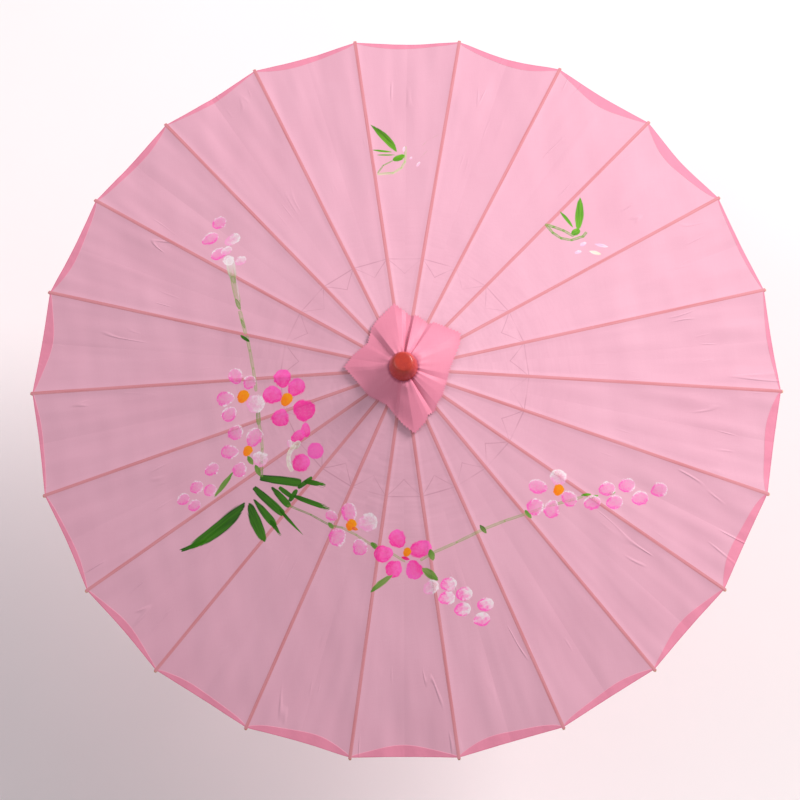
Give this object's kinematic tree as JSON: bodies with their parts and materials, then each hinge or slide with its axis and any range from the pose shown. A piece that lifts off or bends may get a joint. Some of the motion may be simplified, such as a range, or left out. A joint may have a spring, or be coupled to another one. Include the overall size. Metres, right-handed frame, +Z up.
{
  "type": "folding parasol",
  "caption": "Folding parasol: shallow round cloth canopy glued on split-bamboo ribs, with stretchers, a sliding runner, a turned finial and a gathered cloth frill.",
  "frame": {"origin": "centre of the flat end of the handle", "axes": "+Z up the shaft to the finial, canopy open; rib_01 points to +Y and the ribs are numbered clockwise seen from above"},
  "size_m": [0.8122, 0.8204, 0.5188],
  "materials": {
    "bamboo": "split bamboo, satin",
    "hub_wood": "turned wood, clear varnish",
    "staff_wood": "varnished round staff",
    "red_paint": "turned wood, brick-red lacquer",
    "canopy_silk": "thin glossy pink cloth, printed flowers",
    "ruffle_silk": "thin glossy pink cloth, pinked edge",
    "thread": "grey cotton thread",
    "steel": "bright wire and spring leaf"
  },
  "bodies": {
    "shaft": {"shaft": "staff_wood", "handle_grip": "red_paint", "top_notch": "hub_wood", "notch_pin": "bamboo", "notch_wire": "steel", "stop_pin": "bamboo", "finial": "red_paint", "ruffle": "ruffle_silk", "ruffle_tie": "thread", "canopy_cloth": "canopy_silk", "pivot_thread": "thread"},
    "rib_01": {"rib_01": "bamboo"},
    "stretcher_01": {"stretcher_01": "bamboo"},
    "rib_02": {"rib_02": "bamboo"},
    "stretcher_02": {"stretcher_02": "bamboo"},
    "rib_03": {"rib_03": "bamboo"},
    "stretcher_03": {"stretcher_03": "bamboo"},
    "rib_04": {"rib_04": "bamboo"},
    "stretcher_04": {"stretcher_04": "bamboo"},
    "rib_05": {"rib_05": "bamboo"},
    "stretcher_05": {"stretcher_05": "bamboo"},
    "rib_06": {"rib_06": "bamboo"},
    "stretcher_06": {"stretcher_06": "bamboo"},
    "rib_07": {"rib_07": "bamboo"},
    "stretcher_07": {"stretcher_07": "bamboo"},
    "rib_08": {"rib_08": "bamboo"},
    "stretcher_08": {"stretcher_08": "bamboo"},
    "rib_09": {"rib_09": "bamboo"},
    "stretcher_09": {"stretcher_09": "bamboo"},
    "rib_10": {"rib_10": "bamboo"},
    "stretcher_10": {"stretcher_10": "bamboo"},
    "rib_11": {"rib_11": "bamboo"},
    "stretcher_11": {"stretcher_11": "bamboo"},
    "rib_12": {"rib_12": "bamboo"},
    "stretcher_12": {"stretcher_12": "bamboo"},
    "rib_13": {"rib_13": "bamboo"},
    "stretcher_13": {"stretcher_13": "bamboo"},
    "rib_14": {"rib_14": "bamboo"},
    "stretcher_14": {"stretcher_14": "bamboo"},
    "rib_15": {"rib_15": "bamboo"},
    "stretcher_15": {"stretcher_15": "bamboo"},
    "rib_16": {"rib_16": "bamboo"},
    "stretcher_16": {"stretcher_16": "bamboo"},
    "rib_17": {"rib_17": "bamboo"},
    "stretcher_17": {"stretcher_17": "bamboo"},
    "rib_18": {"rib_18": "bamboo"},
    "stretcher_18": {"stretcher_18": "bamboo"},
    "rib_19": {"rib_19": "bamboo"},
    "stretcher_19": {"stretcher_19": "bamboo"},
    "rib_20": {"rib_20": "bamboo"},
    "stretcher_20": {"stretcher_20": "bamboo"},
    "rib_21": {"rib_21": "bamboo"},
    "stretcher_21": {"stretcher_21": "bamboo"},
    "rib_22": {"rib_22": "bamboo"},
    "stretcher_22": {"stretcher_22": "bamboo"},
    "runner": {"runner": "hub_wood", "runner_wire": "steel"},
    "latch": {"latch_spring": "steel"}
  },
  "joints": [
    {"name": "canopy_fold", "type": "hinge", "parent": "shaft", "child": "rib_01", "pos_m": [0, 0.0115, 0.485], "axis": [-1, 0, 0], "range_deg": [0, 75], "deforming": ["canopy_cloth", "ruffle", "pivot_thread", "latch_spring"]},
    {"name": "stretcher_01_pivot", "type": "hinge", "parent": "rib_01", "child": "stretcher_01", "pos_m": [0, 0.13414, 0.45607], "axis": [-1, 0, 0], "range_deg": [-150, 0]},
    {"name": "rib_02_hinge", "type": "hinge", "parent": "shaft", "child": "rib_02", "pos_m": [0.00324, 0.01103, 0.485], "axis": [-0.9595, 0.2817, 0], "range_deg": [0, 75]},
    {"name": "stretcher_02_pivot", "type": "hinge", "parent": "rib_02", "child": "stretcher_02", "pos_m": [0.03779, 0.1287, 0.45607], "axis": [-0.9595, 0.2817, 0], "range_deg": [-150, 0]},
    {"name": "rib_03_hinge", "type": "hinge", "parent": "shaft", "child": "rib_03", "pos_m": [0.00622, 0.00967, 0.485], "axis": [-0.8413, 0.5406, 0], "range_deg": [0, 75]},
    {"name": "stretcher_03_pivot", "type": "hinge", "parent": "rib_03", "child": "stretcher_03", "pos_m": [0.07252, 0.11284, 0.45607], "axis": [-0.8413, 0.5406, 0], "range_deg": [-150, 0]},
    {"name": "rib_04_hinge", "type": "hinge", "parent": "shaft", "child": "rib_04", "pos_m": [0.00869, 0.00753, 0.485], "axis": [-0.6549, 0.7557, 0], "range_deg": [0, 75]},
    {"name": "stretcher_04_pivot", "type": "hinge", "parent": "rib_04", "child": "stretcher_04", "pos_m": [0.10137, 0.08784, 0.45607], "axis": [-0.6549, 0.7557, 0], "range_deg": [-150, 0]},
    {"name": "rib_05_hinge", "type": "hinge", "parent": "shaft", "child": "rib_05", "pos_m": [0.01046, 0.00478, 0.485], "axis": [-0.4154, 0.9096, 0], "range_deg": [0, 75]},
    {"name": "stretcher_05_pivot", "type": "hinge", "parent": "rib_05", "child": "stretcher_05", "pos_m": [0.12201, 0.05572, 0.45607], "axis": [-0.4154, 0.9096, 0], "range_deg": [-150, 0]},
    {"name": "rib_06_hinge", "type": "hinge", "parent": "shaft", "child": "rib_06", "pos_m": [0.01138, 0.00164, 0.485], "axis": [-0.1423, 0.9898, 0], "range_deg": [0, 75]},
    {"name": "stretcher_06_pivot", "type": "hinge", "parent": "rib_06", "child": "stretcher_06", "pos_m": [0.13277, 0.01909, 0.45607], "axis": [-0.1423, 0.9898, 0], "range_deg": [-150, 0]},
    {"name": "rib_07_hinge", "type": "hinge", "parent": "shaft", "child": "rib_07", "pos_m": [0.01138, -0.00164, 0.485], "axis": [0.1423, 0.9898, 0], "range_deg": [0, 75]},
    {"name": "stretcher_07_pivot", "type": "hinge", "parent": "rib_07", "child": "stretcher_07", "pos_m": [0.13277, -0.01909, 0.45607], "axis": [0.1423, 0.9898, 0], "range_deg": [-150, 0]},
    {"name": "rib_08_hinge", "type": "hinge", "parent": "shaft", "child": "rib_08", "pos_m": [0.01046, -0.00478, 0.485], "axis": [0.4154, 0.9096, 0], "range_deg": [0, 75]},
    {"name": "stretcher_08_pivot", "type": "hinge", "parent": "rib_08", "child": "stretcher_08", "pos_m": [0.12201, -0.05572, 0.45607], "axis": [0.4154, 0.9096, 0], "range_deg": [-150, 0]},
    {"name": "rib_09_hinge", "type": "hinge", "parent": "shaft", "child": "rib_09", "pos_m": [0.00869, -0.00753, 0.485], "axis": [0.6549, 0.7557, 0], "range_deg": [0, 75]},
    {"name": "stretcher_09_pivot", "type": "hinge", "parent": "rib_09", "child": "stretcher_09", "pos_m": [0.10137, -0.08784, 0.45607], "axis": [0.6549, 0.7557, 0], "range_deg": [-150, 0]},
    {"name": "rib_10_hinge", "type": "hinge", "parent": "shaft", "child": "rib_10", "pos_m": [0.00622, -0.00967, 0.485], "axis": [0.8413, 0.5406, 0], "range_deg": [0, 75]},
    {"name": "stretcher_10_pivot", "type": "hinge", "parent": "rib_10", "child": "stretcher_10", "pos_m": [0.07252, -0.11284, 0.45607], "axis": [0.8413, 0.5406, 0], "range_deg": [-150, 0]},
    {"name": "rib_11_hinge", "type": "hinge", "parent": "shaft", "child": "rib_11", "pos_m": [0.00324, -0.01103, 0.485], "axis": [0.9595, 0.2817, 0], "range_deg": [0, 75]},
    {"name": "stretcher_11_pivot", "type": "hinge", "parent": "rib_11", "child": "stretcher_11", "pos_m": [0.03779, -0.1287, 0.45607], "axis": [0.9595, 0.2817, 0], "range_deg": [-150, 0]},
    {"name": "rib_12_hinge", "type": "hinge", "parent": "shaft", "child": "rib_12", "pos_m": [0, -0.0115, 0.485], "axis": [1, 0, 0], "range_deg": [0, 75]},
    {"name": "stretcher_12_pivot", "type": "hinge", "parent": "rib_12", "child": "stretcher_12", "pos_m": [0, -0.13414, 0.45607], "axis": [1, 0, 0], "range_deg": [-150, 0]},
    {"name": "rib_13_hinge", "type": "hinge", "parent": "shaft", "child": "rib_13", "pos_m": [-0.00324, -0.01103, 0.485], "axis": [0.9595, -0.2817, 0], "range_deg": [0, 75]},
    {"name": "stretcher_13_pivot", "type": "hinge", "parent": "rib_13", "child": "stretcher_13", "pos_m": [-0.03779, -0.1287, 0.45607], "axis": [0.9595, -0.2817, 0], "range_deg": [-150, 0]},
    {"name": "rib_14_hinge", "type": "hinge", "parent": "shaft", "child": "rib_14", "pos_m": [-0.00622, -0.00967, 0.485], "axis": [0.8413, -0.5406, 0], "range_deg": [0, 75]},
    {"name": "stretcher_14_pivot", "type": "hinge", "parent": "rib_14", "child": "stretcher_14", "pos_m": [-0.07252, -0.11284, 0.45607], "axis": [0.8413, -0.5406, 0], "range_deg": [-150, 0]},
    {"name": "rib_15_hinge", "type": "hinge", "parent": "shaft", "child": "rib_15", "pos_m": [-0.00869, -0.00753, 0.485], "axis": [0.6549, -0.7557, 0], "range_deg": [0, 75]},
    {"name": "stretcher_15_pivot", "type": "hinge", "parent": "rib_15", "child": "stretcher_15", "pos_m": [-0.10137, -0.08784, 0.45607], "axis": [0.6549, -0.7557, 0], "range_deg": [-150, 0]},
    {"name": "rib_16_hinge", "type": "hinge", "parent": "shaft", "child": "rib_16", "pos_m": [-0.01046, -0.00478, 0.485], "axis": [0.4154, -0.9096, 0], "range_deg": [0, 75]},
    {"name": "stretcher_16_pivot", "type": "hinge", "parent": "rib_16", "child": "stretcher_16", "pos_m": [-0.12201, -0.05572, 0.45607], "axis": [0.4154, -0.9096, 0], "range_deg": [-150, 0]},
    {"name": "rib_17_hinge", "type": "hinge", "parent": "shaft", "child": "rib_17", "pos_m": [-0.01138, -0.00164, 0.485], "axis": [0.1423, -0.9898, 0], "range_deg": [0, 75]},
    {"name": "stretcher_17_pivot", "type": "hinge", "parent": "rib_17", "child": "stretcher_17", "pos_m": [-0.13277, -0.01909, 0.45607], "axis": [0.1423, -0.9898, 0], "range_deg": [-150, 0]},
    {"name": "rib_18_hinge", "type": "hinge", "parent": "shaft", "child": "rib_18", "pos_m": [-0.01138, 0.00164, 0.485], "axis": [-0.1423, -0.9898, 0], "range_deg": [0, 75]},
    {"name": "stretcher_18_pivot", "type": "hinge", "parent": "rib_18", "child": "stretcher_18", "pos_m": [-0.13277, 0.01909, 0.45607], "axis": [-0.1423, -0.9898, 0], "range_deg": [-150, 0]},
    {"name": "rib_19_hinge", "type": "hinge", "parent": "shaft", "child": "rib_19", "pos_m": [-0.01046, 0.00478, 0.485], "axis": [-0.4154, -0.9096, 0], "range_deg": [0, 75]},
    {"name": "stretcher_19_pivot", "type": "hinge", "parent": "rib_19", "child": "stretcher_19", "pos_m": [-0.12201, 0.05572, 0.45607], "axis": [-0.4154, -0.9096, 0], "range_deg": [-150, 0]},
    {"name": "rib_20_hinge", "type": "hinge", "parent": "shaft", "child": "rib_20", "pos_m": [-0.00869, 0.00753, 0.485], "axis": [-0.6549, -0.7557, 0], "range_deg": [0, 75]},
    {"name": "stretcher_20_pivot", "type": "hinge", "parent": "rib_20", "child": "stretcher_20", "pos_m": [-0.10137, 0.08784, 0.45607], "axis": [-0.6549, -0.7557, 0], "range_deg": [-150, 0]},
    {"name": "rib_21_hinge", "type": "hinge", "parent": "shaft", "child": "rib_21", "pos_m": [-0.00622, 0.00967, 0.485], "axis": [-0.8413, -0.5406, 0], "range_deg": [0, 75]},
    {"name": "stretcher_21_pivot", "type": "hinge", "parent": "rib_21", "child": "stretcher_21", "pos_m": [-0.07252, 0.11284, 0.45607], "axis": [-0.8413, -0.5406, 0], "range_deg": [-150, 0]},
    {"name": "rib_22_hinge", "type": "hinge", "parent": "shaft", "child": "rib_22", "pos_m": [-0.00324, 0.01103, 0.485], "axis": [-0.9595, -0.2817, 0], "range_deg": [0, 75]},
    {"name": "stretcher_22_pivot", "type": "hinge", "parent": "rib_22", "child": "stretcher_22", "pos_m": [-0.03779, 0.1287, 0.45607], "axis": [-0.9595, -0.2817, 0], "range_deg": [-150, 0]},
    {"name": "runner_pivot", "type": "hinge", "parent": "stretcher_01", "child": "runner", "pos_m": [0, 0.0115, 0.42714], "axis": [-1, 0, 0], "range_deg": [0, 75]},
    {"name": "latch_press", "type": "hinge", "parent": "shaft", "child": "latch", "pos_m": [0.0038, 0, 0.36884], "axis": [0, -1, 0], "range_deg": [0, 6.5], "stiffness_Nm_per_rad": 0.1}
  ],
  "couplings": [
    {"joint": "stretcher_01_pivot", "follows": "canopy_fold", "ratio": -2},
    {"joint": "rib_02_hinge", "follows": "canopy_fold", "ratio": 1},
    {"joint": "stretcher_02_pivot", "follows": "canopy_fold", "ratio": -2},
    {"joint": "rib_03_hinge", "follows": "canopy_fold", "ratio": 1},
    {"joint": "stretcher_03_pivot", "follows": "canopy_fold", "ratio": -2},
    {"joint": "rib_04_hinge", "follows": "canopy_fold", "ratio": 1},
    {"joint": "stretcher_04_pivot", "follows": "canopy_fold", "ratio": -2},
    {"joint": "rib_05_hinge", "follows": "canopy_fold", "ratio": 1},
    {"joint": "stretcher_05_pivot", "follows": "canopy_fold", "ratio": -2},
    {"joint": "rib_06_hinge", "follows": "canopy_fold", "ratio": 1},
    {"joint": "stretcher_06_pivot", "follows": "canopy_fold", "ratio": -2},
    {"joint": "rib_07_hinge", "follows": "canopy_fold", "ratio": 1},
    {"joint": "stretcher_07_pivot", "follows": "canopy_fold", "ratio": -2},
    {"joint": "rib_08_hinge", "follows": "canopy_fold", "ratio": 1},
    {"joint": "stretcher_08_pivot", "follows": "canopy_fold", "ratio": -2},
    {"joint": "rib_09_hinge", "follows": "canopy_fold", "ratio": 1},
    {"joint": "stretcher_09_pivot", "follows": "canopy_fold", "ratio": -2},
    {"joint": "rib_10_hinge", "follows": "canopy_fold", "ratio": 1},
    {"joint": "stretcher_10_pivot", "follows": "canopy_fold", "ratio": -2},
    {"joint": "rib_11_hinge", "follows": "canopy_fold", "ratio": 1},
    {"joint": "stretcher_11_pivot", "follows": "canopy_fold", "ratio": -2},
    {"joint": "rib_12_hinge", "follows": "canopy_fold", "ratio": 1},
    {"joint": "stretcher_12_pivot", "follows": "canopy_fold", "ratio": -2},
    {"joint": "rib_13_hinge", "follows": "canopy_fold", "ratio": 1},
    {"joint": "stretcher_13_pivot", "follows": "canopy_fold", "ratio": -2},
    {"joint": "rib_14_hinge", "follows": "canopy_fold", "ratio": 1},
    {"joint": "stretcher_14_pivot", "follows": "canopy_fold", "ratio": -2},
    {"joint": "rib_15_hinge", "follows": "canopy_fold", "ratio": 1},
    {"joint": "stretcher_15_pivot", "follows": "canopy_fold", "ratio": -2},
    {"joint": "rib_16_hinge", "follows": "canopy_fold", "ratio": 1},
    {"joint": "stretcher_16_pivot", "follows": "canopy_fold", "ratio": -2},
    {"joint": "rib_17_hinge", "follows": "canopy_fold", "ratio": 1},
    {"joint": "stretcher_17_pivot", "follows": "canopy_fold", "ratio": -2},
    {"joint": "rib_18_hinge", "follows": "canopy_fold", "ratio": 1},
    {"joint": "stretcher_18_pivot", "follows": "canopy_fold", "ratio": -2},
    {"joint": "rib_19_hinge", "follows": "canopy_fold", "ratio": 1},
    {"joint": "stretcher_19_pivot", "follows": "canopy_fold", "ratio": -2},
    {"joint": "rib_20_hinge", "follows": "canopy_fold", "ratio": 1},
    {"joint": "stretcher_20_pivot", "follows": "canopy_fold", "ratio": -2},
    {"joint": "rib_21_hinge", "follows": "canopy_fold", "ratio": 1},
    {"joint": "stretcher_21_pivot", "follows": "canopy_fold", "ratio": -2},
    {"joint": "rib_22_hinge", "follows": "canopy_fold", "ratio": 1},
    {"joint": "stretcher_22_pivot", "follows": "canopy_fold", "ratio": -2},
    {"joint": "runner_pivot", "follows": "canopy_fold", "ratio": 1}
  ]
}
